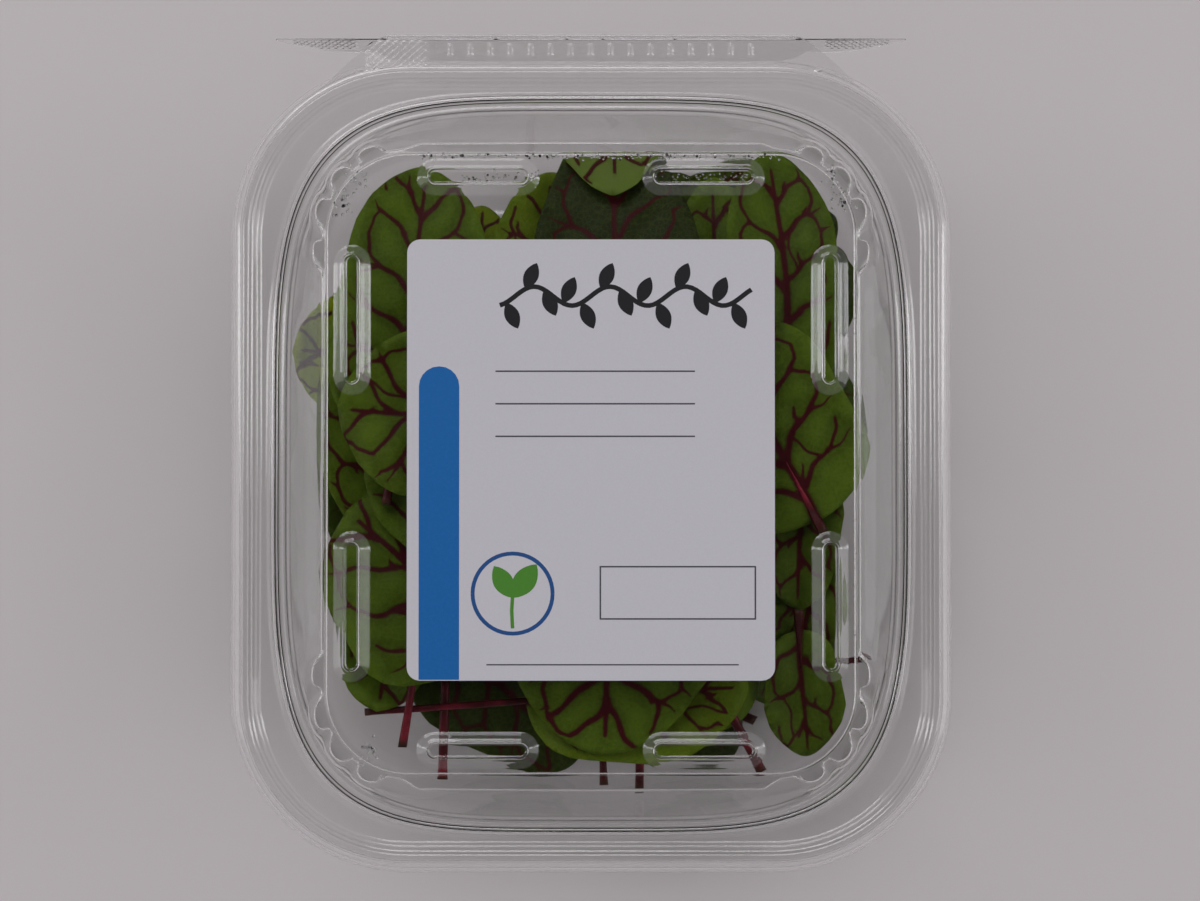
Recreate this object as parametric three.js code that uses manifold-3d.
// Clear hinged clamshell pack, filled with loose red-veined sorrel leaves.
// Millimetres, +Z up. The origin is the middle of the tray's underside; the hinge is at the back, +Y.
import * as THREE from 'three';
import { mergeVertices } from 'three/addons/utils/BufferGeometryUtils.js';
import Module from 'manifold-3d';

const wasm = await Module();
wasm.setup();

// Driving dimensions
const SHEET = 0.6; // wall of the formed sheet
const CLEAR = 0.35; // space kept between pieces that touch
const LIP_Z = 27; // underside of the tray's outer lip
const SEAT_Z = 34; // ledge that the lid sits on
const CROWN_Z = 36.75; // top of the tray's rim bead
const LID_CROWN_Z = CROWN_Z + CLEAR + SHEET; // top of the lid's rim bead
const TOP_Z = 50; // flat top of the lid
const RIB_HEIGHT = 1.7;
const RIB_WIDTH = 8.8;
const RIB_SLOPE = 2.3; // how far a rib's crest stands inside its foot
const SIDE_RIBS = { x: 55, y: 33, length: 35 }; // along the sides, mirrored to four
const END_RIBS = { x: 26, y: 66, length: 28.5 }; // along the ends, mirrored to four

// Outlines seen from above: half sizes a and b, corners that start cx and cy from them, corner power m
const RIM = { a: 85.1, b: 95.9, cx: 42, cy: 42, m: 2 }; // outer lip
const MOUTH = { a: 72.9, b: 84.6, cx: 68, cy: 79, m: 3.8 }; // foot of the lid's dome
const PLATEAU = { a: 62, b: 72.5, cx: 20, cy: 20, m: 2 }; // flat top of the lid
const FLOOR = { a: 64, b: 75, cx: 24, cy: 24, m: 2 }; // flat floor of the tray

// Tear strip that joins the two halves along the back, with its pull tabs
const FOLD_Y = 100.4;
const FOLD_HALF = 50.5;
const FOOT_HALF = 43; // half width where the tray's panel leaves the lip
const TAB_TIP = 74;
const TAB_HEIGHT = 5.6;
const SLOT = { side: 2, depth: 3.2, drop: 3 }; // room left round the strip where the skirt is cut away

// Paper label on the lid
const LABEL = { width: 84.7, depth: 101.6, corner: 3, thick: 0.3, y: 0.8 };

// Leaves
const BLADE = 0.7; // thickness of a blade
const STALK = 2.1; // thickness of a stalk
const CELL = 0.45; // cell of the height map that the leaves are laid on
const MARGIN = 0.5; // how far past its edge a leaf keeps others away
const CHORD = 0.9; // how far the walls' flat facets may stand inside their true curve

// Directions of the section lines in one quarter, closer at the corner flutes
const FLUTES = [37.3, 43, 48.7, 54.5];
const FLUTE_HALF = 2.85;
const FLUTE_OUT = 2.4;
const QUARTER = [12, 24, 31, 34.4, 37.3, 40.1, 43, 45.9, 48.7, 51.6, 54.5, 57.4, 63, 76];
const rad = (degrees) => (degrees * Math.PI) / 180;

function directions() {
  const back = [...QUARTER].reverse();
  return [0, ...QUARTER, 90, ...back.map((q) => 180 - q), 180, ...QUARTER.map((q) => 180 + q), 270,
    ...back.map((q) => 360 - q)].map(rad);
}

const grown = (o, by) => ({ a: o.a + by, b: o.b + by, cx: o.cx + by, cy: o.cy + by, m: o.m });

// Distance from the middle to an outline in one direction
function reach(o, angle) {
  const c = Math.abs(Math.cos(angle));
  const s = Math.abs(Math.sin(angle));
  let low = 0;
  let high = o.a + o.b;
  for (let i = 0; i < 32; i++) {
    const r = (low + high) / 2;
    const u = Math.max(0, (r * c - o.a + o.cx) / o.cx);
    const v = Math.max(0, (r * s - o.b + o.cy) / o.cy);
    if (u ** o.m + v ** o.m < 1) low = r;
    else high = r;
  }
  return low;
}

// Height of the corner flutes in one direction, from 0 to 1
function flute(angle) {
  const q = (Math.atan2(Math.abs(Math.sin(angle)), Math.abs(Math.cos(angle))) * 180) / Math.PI;
  const nearest = Math.min(...FLUTES.map((f) => Math.abs(q - f)));
  return Math.cos((Math.PI / 2) * Math.min(1, nearest / FLUTE_HALF));
}

// One ring of a section: an outline grown by some amount, part of the way to a second one
const ring = (of, grow, z, more = {}) => ({ of: grown(of, grow), z, mix: 0, flutes: 0, ...more });

function ringReach(r, angle) {
  const own = reach(r.of, angle);
  const mixed = r.mix > 0 ? own + (reach(r.to, angle) - own) * r.mix : own;
  return mixed + r.flutes * flute(angle);
}

// Upper face of the tray, from the middle of the floor out to the lip
const TRAY = [
  ring(FLOOR, -3.2, SHEET),
  ring(FLOOR, -0.8, SHEET + 0.9),
  ring(FLOOR, 0.4, SHEET + 3.2),
  ring(FLOOR, 0.4, 18, { to: MOUTH, mix: 0.45 }),
  ring(MOUTH, -2.1, SEAT_Z - 1.6),
  ring(MOUTH, -0.9, SEAT_Z),
  ring(RIM, -6.3, SEAT_Z),
  ring(RIM, -5.0, CROWN_Z - 0.3),
  ring(RIM, -4.4, CROWN_Z),
  ring(RIM, -3.4, CROWN_Z),
  ring(RIM, -2.7, CROWN_Z - 1.2),
  ring(RIM, 0, LIP_Z),
];

// Upper face of the lid, from the middle of the plateau out to the skirt
const LID = [
  ring(PLATEAU, -1.4, TOP_Z),
  ring(PLATEAU, 0, TOP_Z - 0.7),
  ring(PLATEAU, 0.9, TOP_Z - 3.0, { flutes: FLUTE_OUT }),
  ring(PLATEAU, 1.6, TOP_Z - 5.2, { to: MOUTH, mix: 0.3, flutes: FLUTE_OUT * 0.4 }),
  ring(MOUTH, -1.6, SEAT_Z + 4.2),
  ring(MOUTH, 0, SEAT_Z + 1.1),
  ring(RIM, -7.6, SEAT_Z + 1.1),
  ring(RIM, -5.8, LID_CROWN_Z),
  ring(RIM, -2.6, LID_CROWN_Z),
  ring(RIM, -1.5, LID_CROWN_Z - 1.0),
  ring(RIM, -0.2, SEAT_Z - 1.5),
];

// Points of a section line: its distance from the middle and its height
const section = (rings, angle) => rings.map((r) => new THREE.Vector2(ringReach(r, angle), r.z));

// The same section line moved down by the sheet's thickness, with mitred corners
function underside(points) {
  const normals = points.slice(1).map((p, i) => {
    const along = p.clone().sub(points[i]).normalize();
    return new THREE.Vector2(-along.y, along.x);
  });
  return points.map((p, i) => {
    const before = normals[Math.max(0, i - 1)];
    const after = normals[Math.min(normals.length - 1, i)];
    const n = i === 0 ? new THREE.Vector2(0, 1) : before.clone().add(after).normalize();
    const mitre = Math.min(1.5, 1 / Math.max(0.1, n.dot(i === 0 ? n : after)));
    return p.clone().addScaledVector(n, -SHEET * mitre);
  });
}

function meshFrom(points, faces) {
  const geometry = new THREE.BufferGeometry();
  geometry.setAttribute('position', new THREE.Float32BufferAttribute(points.flat(), 3));
  geometry.setIndex(faces.flat());
  return geometry;
}

// A formed sheet: upper and lower faces through the rings, joined round the outer edge
function formedSheet(rings) {
  const angles = directions();
  const turns = angles.length;
  const points = [];
  const faces = [];
  const addFace = (lower) => {
    const start = points.length;
    angles.forEach((angle) => {
      const upperLine = section(rings, angle);
      const line = lower ? underside(upperLine) : upperLine;
      line.forEach((p) => points.push([p.x * Math.cos(angle), p.x * Math.sin(angle), p.y]));
    });
    points.push([0, 0, points[start][2]]);
    return start;
  };
  const upper = addFace(false);
  const lower = addFace(true);
  const at = (start, turn, k) => start + (turn % turns) * rings.length + k;
  const last = rings.length - 1;
  for (let i = 0; i < turns; i++) {
    faces.push([upper + turns * rings.length, at(upper, i, 0), at(upper, i + 1, 0)]);
    faces.push([lower + turns * rings.length, at(lower, i + 1, 0), at(lower, i, 0)]);
    for (let k = 0; k < last; k++) {
      faces.push([at(upper, i, k), at(upper, i, k + 1), at(upper, i + 1, k + 1)]);
      faces.push([at(upper, i, k), at(upper, i + 1, k + 1), at(upper, i + 1, k)]);
      faces.push([at(lower, i, k), at(lower, i + 1, k + 1), at(lower, i, k + 1)]);
      faces.push([at(lower, i, k), at(lower, i + 1, k), at(lower, i + 1, k + 1)]);
    }
    faces.push([at(upper, i, last), at(lower, i, last), at(lower, i + 1, last)]);
    faces.push([at(upper, i, last), at(lower, i + 1, last), at(upper, i + 1, last)]);
  }
  return meshFrom(points, faces);
}

// Joining and cutting
function toSolid(geometry) {
  const bare = geometry.clone();
  bare.deleteAttribute('normal');
  bare.deleteAttribute('uv');
  const merged = mergeVertices(bare, 1e-5);
  return new wasm.Manifold(new wasm.Mesh({
    numProp: 3,
    vertProperties: new Float32Array(merged.attributes.position.array),
    triVerts: new Uint32Array(merged.index.array),
  }));
}

function toGeometry(solid) {
  const mesh = solid.getMesh();
  const geometry = new THREE.BufferGeometry();
  geometry.setAttribute('position', new THREE.BufferAttribute(new Float32Array(mesh.vertProperties), 3));
  geometry.setIndex(new THREE.BufferAttribute(new Uint32Array(mesh.triVerts), 1));
  return geometry;
}

const plate = (shape, thick, curveSegments) =>
  new THREE.ExtrudeGeometry(shape, { depth: thick, bevelEnabled: false, curveSegments });

// A raised oblong rib on the plateau, centred at x, y, along Y where it is upright
function rib(x, y, length, upright) {
  const capsule = (half, r) => {
    const shape = new THREE.Shape();
    shape.moveTo(-half, -r);
    shape.lineTo(half, -r);
    shape.absarc(half, 0, r, -Math.PI / 2, Math.PI / 2);
    shape.lineTo(-half, r);
    shape.absarc(-half, 0, r, Math.PI / 2, (3 * Math.PI) / 2);
    return shape.getPoints(5).slice(0, -1);
  };
  const half = (length - RIB_WIDTH) / 2;
  const foot = capsule(half, RIB_WIDTH / 2);
  const crest = capsule(half, RIB_WIDTH / 2 - RIB_SLOPE);
  const n = foot.length;
  const points = [
    ...foot.map((p) => [p.x, p.y, TOP_Z - SHEET / 2]),
    ...crest.map((p) => [p.x, p.y, TOP_Z + RIB_HEIGHT]),
  ];
  const faces = [];
  for (let i = 0; i < n; i++) {
    const j = (i + 1) % n;
    faces.push([i, j, n + j], [i, n + j, n + i]);
    if (i > 0 && j > 0) faces.push([0, j, i], [n, n + i, n + j]);
  }
  const geometry = meshFrom(points, faces);
  if (upright) geometry.rotateZ(Math.PI / 2);
  geometry.translate(x, y, 0);
  return geometry;
}

// Front band of the tear strip: flat, from the lid's bead out to the fold
function lidBand() {
  const shape = new THREE.Shape();
  const outer = (degrees, by) => {
    const r = reach(grown(RIM, by), rad(degrees));
    return new THREE.Vector2(r * Math.cos(rad(degrees)), r * Math.sin(rad(degrees)));
  };
  const right = outer(52, -3);
  const left = outer(128, -3);
  shape.moveTo(right.x, right.y);
  shape.bezierCurveTo(right.x - 5, right.y + 4.5, FOLD_HALF + 2.5, FOLD_Y - 1, FOLD_HALF - 2, FOLD_Y);
  shape.lineTo(2 - FOLD_HALF, FOLD_Y);
  shape.bezierCurveTo(-FOLD_HALF - 2.5, FOLD_Y - 1, left.x + 5, left.y + 4.5, left.x, left.y);
  [117, 104, 90, 76, 63].forEach((degrees) => {
    const p = outer(degrees, -5.2);
    shape.lineTo(p.x, p.y);
  });
  const geometry = plate(shape, SHEET, 6);
  geometry.translate(0, 0, LID_CROWN_Z - SHEET + 0.05);
  return geometry;
}

// Rear panel of the tear strip: it leans out from the lip up to the fold and carries the pull tabs
function trayPanel() {
  const foot = new THREE.Vector2(RIM.b - 0.3, LIP_Z + 0.2);
  const top = new THREE.Vector2(FOLD_Y - 0.5, CROWN_Z - 0.1);
  const height = foot.distanceTo(top);
  const tabFoot = height - TAB_HEIGHT;
  const shape = new THREE.Shape();
  shape.moveTo(-FOOT_HALF, 0);
  shape.lineTo(FOOT_HALF, 0);
  shape.quadraticCurveTo(FOLD_HALF - 1, 0.4, FOLD_HALF, tabFoot);
  shape.bezierCurveTo(FOLD_HALF + 8, tabFoot - 0.6, TAB_TIP - 9, tabFoot + 0.6, TAB_TIP, height - 0.4);
  shape.lineTo(TAB_TIP - 1.5, height);
  shape.lineTo(1.5 - TAB_TIP, height);
  shape.lineTo(-TAB_TIP, height - 0.4);
  shape.bezierCurveTo(9 - TAB_TIP, tabFoot + 0.6, -FOLD_HALF - 8, tabFoot - 0.6, -FOLD_HALF, tabFoot);
  shape.quadraticCurveTo(1 - FOLD_HALF, 0.4, -FOOT_HALF, 0);
  const geometry = plate(shape, SHEET, 6);
  geometry.translate(0, 0, -SHEET / 2);
  geometry.rotateX(Math.atan2(top.y - foot.y, top.x - foot.x));
  geometry.translate(0, foot.x, foot.y);
  return geometry;
}

function box(x, y, z, sx, sy, sz) {
  const geometry = new THREE.BoxGeometry(sx, sy, sz);
  geometry.translate(x, y, z);
  return geometry;
}

function lidGeometry() {
  let lid = toSolid(formedSheet(LID));
  // The skirt stops at the tear strip, so that the lid can swing open
  const low = SEAT_Z - SLOT.drop;
  const high = LID_CROWN_Z - SHEET - 0.02;
  const wide = 2 * (FOLD_HALF + SLOT.side);
  lid = lid.subtract(toSolid(box(0, RIM.b, (low + high) / 2, wide, 2 * SLOT.depth, high - low)));
  lid = lid.add(toSolid(lidBand()));
  [-1, 1].forEach((sx) => [-1, 1].forEach((sy) => {
    lid = lid.add(toSolid(rib(sx * SIDE_RIBS.x, sy * SIDE_RIBS.y, SIDE_RIBS.length, true)));
    lid = lid.add(toSolid(rib(sx * END_RIBS.x, sy * END_RIBS.y, END_RIBS.length, false)));
  }));
  return toGeometry(lid);
}

const trayGeometry = () => toGeometry(toSolid(formedSheet(TRAY)).add(toSolid(trayPanel())));

function labelGeometry() {
  const { width, depth, corner, thick, y } = LABEL;
  const shape = new THREE.Shape();
  const x = width / 2 - corner;
  const d = depth / 2 - corner;
  shape.absarc(x, -d, corner, -Math.PI / 2, 0);
  shape.absarc(x, d, corner, 0, Math.PI / 2);
  shape.absarc(-x, d, corner, Math.PI / 2, Math.PI);
  shape.absarc(-x, -d, corner, Math.PI, 1.5 * Math.PI);
  const geometry = plate(shape, thick, 4);
  geometry.translate(0, y, TOP_Z + CLEAR);
  return geometry;
}

// Height maps inside the closed pack: the pile that the leaves are laid on, and the lid above it
const HALF_X = Math.ceil((MOUTH.a + 7) / CELL);
const HALF_Y = Math.ceil((MOUTH.b + 5.4) / CELL);
const COLS = 2 * HALF_X + 1;
const ROWS = 2 * HALF_Y + 1;
const cellX = (i) => (i - HALF_X) * CELL;
const cellY = (j) => (j - HALF_Y) * CELL;

function heightMap(rings, lower, beyond) {
  const lines = [];
  for (let d = 0; d < 360; d++) {
    const line = section(rings, rad(d));
    lines.push(lower ? underside(line) : line);
  }
  const map = new Float32Array(COLS * ROWS);
  for (let j = 0; j < ROWS; j++) {
    for (let i = 0; i < COLS; i++) {
      const r = Math.hypot(cellX(i), cellY(j)) + CHORD;
      const turn = Math.round(((Math.atan2(cellY(j), cellX(i)) * 180) / Math.PI + 360) % 360) % 360;
      const line = lines[turn];
      let z = r < line[0].x ? line[0].y : beyond;
      for (let k = 1; k < line.length; k++) {
        const [p, q] = [line[k - 1], line[k]];
        if (r >= p.x && r < q.x) z = p.y + ((q.y - p.y) * (r - p.x)) / (q.x - p.x);
      }
      map[j * COLS + i] = z;
    }
  }
  return map;
}

const TRAY_INSIDE = 7; // rings of the tray inside its rim bead
const LID_INSIDE = 7;
const pile = heightMap(TRAY.slice(0, TRAY_INSIDE), false, 2 * TOP_Z);
const ceiling = heightMap(LID.slice(0, LID_INSIDE), true, 0);

// A repeatable random number from 0 to 1
let draw = 222;
function random() {
  draw = (draw * 16807) % 2147483647;
  return draw / 2147483647;
}
const between = (low, high) => low + (high - low) * random();

// Stations along a leaf: the stalk in millimetres from its cut end, then the blade from 0 to 1
const BLADE_STATIONS = [0.02, 0.15, 0.35, 0.55, 0.75, 0.9, 0.985];
const ACROSS = [-1, -0.55, 0, 0.55, 1];
const bladeHalf = (s) => (1 - Math.abs(2 * s ** 0.85 - 1) ** 2.6) ** 0.6;

// A leaf before it is laid down: plan points, free shape and half thickness of each point
function leafSheet(leaf) {
  const length = leaf.stalk + leaf.blade;
  const dir = new THREE.Vector2(Math.cos(rad(leaf.heading)), Math.sin(rad(leaf.heading)));
  const side = new THREE.Vector2(-dir.y, dir.x);
  const stations = [0, leaf.stalk * 0.5, leaf.stalk - 1.2].map((d) => ({ d, half: STALK * 0.55, s: -1 }));
  BLADE_STATIONS.forEach((s) => {
    const ripple = 1 + 0.07 * Math.sin(9 * s + leaf.phase);
    stations.push({ d: leaf.stalk + s * leaf.blade, half: (leaf.width / 2) * bladeHalf(s) * ripple, s });
  });
  const points = [];
  stations.forEach(({ d, half, s }) => {
    const t = d / length;
    const bow = leaf.bend * Math.sin(Math.PI * t);
    ACROSS.forEach((q) => {
      const plan = leaf.base.clone().addScaledVector(dir, d).addScaledVector(side, bow + q * half);
      const fold = leaf.trough * (Math.abs(q) ** 1.4) * (half / (leaf.width / 2));
      const ruffle = s < 0 ? 0 : leaf.wave * q * Math.sin(7 * s + leaf.phase * 2);
      const wave = ruffle * (half / (leaf.width / 2));
      const free = leaf.arch * Math.sin(Math.PI * t) + fold + wave + leaf.lean * (t - 0.5);
      const round = Math.sqrt(1 - 0.84 * q * q);
      const stalkHalf = (STALK / 2) * round;
      const bladeThick = BLADE / 2 + (q === 0 ? 0.35 * (1 - Math.max(0, s)) : 0);
      points.push({ x: plan.x, y: plan.y, free, z: free, thick: s < 0 ? stalkHalf : bladeThick });
    });
  });
  return points;
}

// Triangles of the sheet, the same on both faces
const LEAF_TRIANGLES = [];
const LEAF_ROWS = 3 + BLADE_STATIONS.length;
for (let r = 0; r < LEAF_ROWS - 1; r++) {
  for (let c = 0; c < ACROSS.length - 1; c++) {
    const a = r * ACROSS.length + c;
    const b = a + ACROSS.length;
    if (c < 2) LEAF_TRIANGLES.push([a, b, b + 1], [a, b + 1, a + 1]);
    else LEAF_TRIANGLES.push([a, b, a + 1], [a + 1, b, b + 1]);
  }
}

// Calls visit(cell, corners, weights, slack) for each cell that a triangle covers or nearly covers
function overCells(points, visit) {
  LEAF_TRIANGLES.forEach((corners) => {
    const [p, q, r] = corners.map((k) => points[k]);
    const area = (q.x - p.x) * (r.y - p.y) - (r.x - p.x) * (q.y - p.y);
    if (Math.abs(area) < 1e-6) return;
    const gx = ((q.z - p.z) * (r.y - p.y) - (r.z - p.z) * (q.y - p.y)) / area;
    const gy = ((q.x - p.x) * (r.z - p.z) - (r.x - p.x) * (q.z - p.z)) / area;
    const slack = 0.25 * CELL * (Math.abs(gx) + Math.abs(gy));
    const longest = Math.max(Math.hypot(q.x - p.x, q.y - p.y), Math.hypot(r.x - q.x, r.y - q.y),
      Math.hypot(p.x - r.x, p.y - r.y));
    const beyond = -(MARGIN * longest) / Math.abs(area);
    const i0 = Math.max(0, Math.floor((Math.min(p.x, q.x, r.x) - MARGIN) / CELL) + HALF_X);
    const i1 = Math.min(COLS - 1, Math.ceil((Math.max(p.x, q.x, r.x) + MARGIN) / CELL) + HALF_X);
    const j0 = Math.max(0, Math.floor((Math.min(p.y, q.y, r.y) - MARGIN) / CELL) + HALF_Y);
    const j1 = Math.min(ROWS - 1, Math.ceil((Math.max(p.y, q.y, r.y) + MARGIN) / CELL) + HALF_Y);
    for (let j = j0; j <= j1; j++) {
      for (let i = i0; i <= i1; i++) {
        const x = cellX(i);
        const y = cellY(j);
        const u = ((q.x - x) * (r.y - y) - (r.x - x) * (q.y - y)) / area;
        const v = ((r.x - x) * (p.y - y) - (p.x - x) * (r.y - y)) / area;
        const w = 1 - u - v;
        if (u < beyond || v < beyond || w < beyond) continue;
        const clamped = [u, v, w].map((t) => Math.max(0, t));
        const sum = clamped[0] + clamped[1] + clamped[2];
        visit(j * COLS + i, corners, clamped.map((t) => t / sum), slack);
      }
    }
  });
}

const blend = (points, corners, weights, value) =>
  corners.reduce((sum, k, n) => sum + value(points[k]) * weights[n], 0);
const lowFace = (p) => p.z - p.thick;
const highFace = (p) => p.z + p.thick;

// How far the sheet would have to rise to clear the pile everywhere; negative when it hangs above it
function neededLift(points) {
  let lift = -Infinity;
  overCells(points, (cell, corners, weights, slack) => {
    lift = Math.max(lift, pile[cell] + CLEAR + slack - blend(points, corners, weights, lowFace));
  });
  return lift;
}

function overLid(points) {
  let over = -Infinity;
  overCells(points, (cell, corners, weights, slack) => {
    over = Math.max(over, blend(points, corners, weights, highFace) + CLEAR + slack - ceiling[cell]);
  });
  return over;
}

const raise = (points, by) => points.forEach((p) => { p.z += by; });

// Each point's bend away from the free shape is evened out with its neighbours'
function evenOut(points) {
  const n = ACROSS.length;
  const bent = points.map((p) => p.z - p.free);
  points.forEach((p, k) => {
    const near = [k - n, k + n];
    if (k % n > 0) near.push(k - 1);
    if (k % n < n - 1) near.push(k + 1);
    const kept = near.filter((m) => m >= 0 && m < points.length);
    const mean = kept.reduce((sum, m) => sum + bent[m], 0) / kept.length;
    p.z = p.free + 0.4 * bent[k] + 0.6 * mean;
  });
}

const SAG_STEP = 0.5;
const PUSHES = 3; // times that a step's overlaps with the pile are pushed out

// Lays a leaf on the pile: it drops until it touches, then sags between what holds it
function settle(points, sagPasses) {
  raise(points, neededLift(points));
  for (let pass = 0; pass < sagPasses; pass++) {
    raise(points, -SAG_STEP);
    evenOut(points);
    for (let push = 0; push < PUSHES; push++) {
      const rise = new Float32Array(points.length);
      overCells(points, (cell, corners, weights, slack) => {
        const short = pile[cell] + CLEAR + slack - blend(points, corners, weights, lowFace);
        if (short <= 0) return;
        const squares = weights[0] ** 2 + weights[1] ** 2 + weights[2] ** 2;
        corners.forEach((k, n) => { rise[k] = Math.max(rise[k], (short * weights[n]) / squares); });
      });
      points.forEach((p, k) => { p.z += rise[k]; });
    }
  }
  evenOut(points);
  raise(points, neededLift(points));
}

function addToPile(points) {
  overCells(points, (cell, corners, weights, slack) => {
    pile[cell] = Math.max(pile[cell], blend(points, corners, weights, highFace) + slack);
  });
}

// How high a leaf would lie; it may lie higher towards +X, where fewer leaves lie on top
const height = (points) =>
  points.reduce((sum, p) => sum + p.z - PILE_SLOPE * p.x, 0) / points.length;
const insidePlan = (points, outline) => points.every((p) => {
  const r = Math.hypot(p.x, p.y);
  return r < reach(outline, Math.atan2(p.y, p.x));
});

// Closed solid of a laid leaf: both faces, the edge all round
function leafGeometry(points) {
  const n = points.length;
  const across = ACROSS.length;
  const faces = [];
  LEAF_TRIANGLES.forEach(([a, b, c]) => faces.push([a, c, b], [n + a, n + b, n + c]));
  const rim = [];
  for (let c = 0; c < across - 1; c++) rim.push([c, c + 1]);
  for (let r = 0; r < LEAF_ROWS - 1; r++) rim.push([(r + 1) * across - 1, (r + 2) * across - 1]);
  for (let c = across - 1; c > 0; c--) rim.push([n - across + c, n - across + c - 1]);
  for (let r = LEAF_ROWS - 1; r > 0; r--) rim.push([r * across, (r - 1) * across]);
  rim.forEach(([a, b]) => faces.push([b, a, n + a], [b, n + a, n + b]));
  const upper = points.map((p) => [p.x, p.y, p.z + p.thick]);
  const lower = points.map((p) => [p.x, p.y, p.z - p.thick]);
  return meshFrom([...lower, ...upper], faces);
}

// Leaves that show through the lid, the lowest first: cut end, heading, stalk, blade and width
const leafAt = (x, y, heading, stalk, blade, width, more = {}) => ({
  base: new THREE.Vector2(x, y), heading, stalk, blade, width,
  bend: 0, arch: 4, trough: 3, wave: 1.5, lean: 0, phase: x + y, ...more,
});
const SHOWN = [
  leafAt(-27, 24.5, 177, 8, 35, 34, { arch: 3 }),
  leafAt(66, -46, 184, 26, 50, 30),
  leafAt(-35, -74, 88, 26, 60, 30, { arch: 5 }),
  leafAt(3, -75, 92, 24, 62, 34, { arch: 5 }),
  leafAt(40, -72, 118, 26, 56, 32),
  leafAt(-53, -58, 4, 38, 52, 32, { arch: 3 }),
  leafAt(-44, -14, 262, 6, 38, 24),
  leafAt(-46, -26, 104, 8, 46, 20, { trough: 1.5 }),
  leafAt(-27.5, 22, 88, 4, 36, 18),
  leafAt(-11, 21, 88, 8, 41, 26),
  leafAt(33, 10, 90, 8, 44, 22),
  leafAt(31, 6, 92, 12, 50, 20),
  leafAt(54, -14, 262, 5, 30, 16, { trough: 2 }),
  leafAt(50, 6, 268, 6, 34, 18, { trough: 3 }),
  leafAt(48.5, -34, 274, 5, 30, 18, { trough: 4 }),
  leafAt(8, -11, 92, 16, 66, 38, { arch: 5, trough: 2 }),
  leafAt(-44, -66, 88, 18, 50, 34, { bend: -3, trough: 4 }),
  leafAt(-17, -47, 138, 8, 46, 46),
  leafAt(-26, -32, 104, 10, 56, 36),
  leafAt(44.8, 0, 92, 14, 60, 26, { bend: -2 }),
  leafAt(54, -16, 118, 3, 52, 40, { arch: 2, trough: 1 }),
  leafAt(8, 8, 266, 16, 60, 50, { arch: 3, trough: 2 }),
  leafAt(-47.5, -9.5, 84, 14, 66, 36, { bend: -1 }),
  leafAt(-2, 9, 176, 4, 53, 40),
];
const FILL = 31; // leaves packed under them
const TRIES = 10; // places tried for each, the lowest is kept
const PILE_SLOPE = 0.08; // rise of the pile towards +X
const FILL_SAG = 9; // steps that a leaf may sag between what holds it
const SHOWN_SAG = 20;

function fillerLeaf() {
  const stalk = between(12, 30);
  const blade = between(46, 66);
  const heading = (random() < 0.7 ? 90 : 270) + between(-60, 60);
  const middle = new THREE.Vector2(between(-50, 50), between(-60, 60));
  const half = new THREE.Vector2(Math.cos(rad(heading)), Math.sin(rad(heading)));
  half.multiplyScalar((stalk + blade) / 2);
  return leafAt(middle.x - half.x, middle.y - half.y, heading, stalk, blade, between(26, 40), {
    bend: between(-4, 4), arch: between(3, 10), trough: between(-3, 8), wave: between(1.5, 3.5),
    lean: between(-5, 5), phase: between(0, 6),
  });
}

function layFillers() {
  const laid = [];
  const room = grown(MOUTH, -6);
  for (let n = 0; n < FILL; n++) {
    let best = null;
    for (let tries = 0; tries < TRIES;) {
      const points = leafSheet(fillerLeaf());
      if (!insidePlan(points, n < FILL / 2 ? grown(FLOOR, -2) : room)) continue;
      tries++;
      raise(points, neededLift(points));
      if (!best || height(points) < height(best)) best = points;
    }
    settle(best, FILL_SAG);
    addToPile(best);
    laid.push(best);
  }
  return laid;
}

function layShown() {
  return SHOWN.map((leaf) => {
    let points = null;
    for (let stiff = 1; stiff > 0.1; stiff -= 0.3) {
      const [arch, trough, wave] = [leaf.arch * stiff, leaf.trough * stiff, leaf.wave * stiff];
      points = leafSheet({ ...leaf, arch, trough, wave });
      settle(points, SHOWN_SAG);
      if (overLid(points) <= 0) break;
    }
    addToPile(points);
    return points;
  });
}

// Materials
const clear = { color: 0xe4e9ea, roughness: 0.08, metalness: 0, transparent: true, opacity: 0.3 };
const clearSheet = () => new THREE.MeshStandardMaterial({ ...clear, side: THREE.DoubleSide });
const paper = new THREE.MeshStandardMaterial({ color: 0xf2f1f4, roughness: 0.6, metalness: 0 });
const leafGreen = (n) => new THREE.MeshStandardMaterial({
  color: new THREE.Color().setHSL(0.24 + 0.02 * Math.sin(n), 0.5, 0.26), roughness: 0.55, metalness: 0,
});

const pack = new THREE.Group();
function add(name, geometry, material) {
  const mesh = new THREE.Mesh(geometry, material);
  mesh.name = name;
  pack.add(mesh);
}

add('tray', trayGeometry(), clearSheet());
add('lid', lidGeometry(), clearSheet());
add('label', labelGeometry(), paper);
const twoDigits = (n) => String(n + 1).padStart(2, '0');
layFillers().forEach((points, n) => add(`leaf_under_${twoDigits(n)}`, leafGeometry(points), leafGreen(n)));
layShown().forEach((points, n) => add(`leaf_top_${twoDigits(n)}`, leafGeometry(points), leafGreen(n)));

export default pack;
